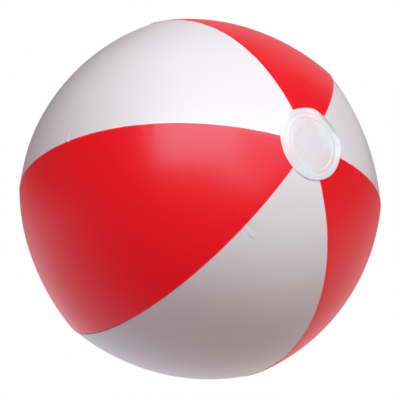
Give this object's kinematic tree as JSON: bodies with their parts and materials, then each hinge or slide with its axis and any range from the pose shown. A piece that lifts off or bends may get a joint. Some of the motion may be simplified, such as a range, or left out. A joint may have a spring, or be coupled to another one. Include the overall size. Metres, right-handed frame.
{
  "type": "inflatable beach ball",
  "caption": "Inflated film ball of red and white gores with clear end discs and a pull-out blow-up valve with a captive plug.",
  "frame": {"origin": "centre of the inflated ball", "axes": "+Z along the pole axis through the top end disc, +Y towards the panel with the valve, +X along the seam to the right of it"},
  "size_m": [0.2764, 0.2762, 0.2696],
  "materials": {
    "red_film": "glossy soft PVC film, red",
    "white_film": "glossy soft PVC film, opaque white",
    "clear_disc": "clear, slightly milky soft PVC film",
    "valve_vinyl": "translucent moulded soft vinyl",
    "plug_vinyl": "translucent white moulded soft vinyl"
  },
  "bodies": {
    "ball": {"red_panel_1": "red_film", "red_panel_2": "red_film", "red_panel_3": "red_film", "white_panel_1": "white_film", "white_panel_2": "white_film", "white_valve_panel": "white_film", "top_end_disc": "clear_disc", "bottom_end_disc": "clear_disc", "valve_base": "valve_vinyl", "valve_neck": "valve_vinyl"},
    "stem": {"valve_stem": "valve_vinyl"},
    "plug": {"valve_plug": "plug_vinyl", "plug_strap": "plug_vinyl"},
    "flap": {"check_flap": "valve_vinyl"}
  },
  "joints": [
    {"name": "valve_pull", "type": "slide", "parent": "ball", "child": "stem", "axis": [0, 0.9397, 0.342], "range_m": [0, 0.012], "deforming": ["valve_neck"]},
    {"name": "plug_hinge", "type": "hinge", "parent": "stem", "child": "plug", "pos_m": [0, 0.12699, 0.05294], "axis": [1, 0, 0], "range_deg": [0, 135]},
    {"name": "flap_hinge", "type": "hinge", "parent": "stem", "child": "flap", "pos_m": [0, 0.11285, 0.04487], "axis": [-1, 0, 0], "range_deg": [0, 60]}
  ]
}
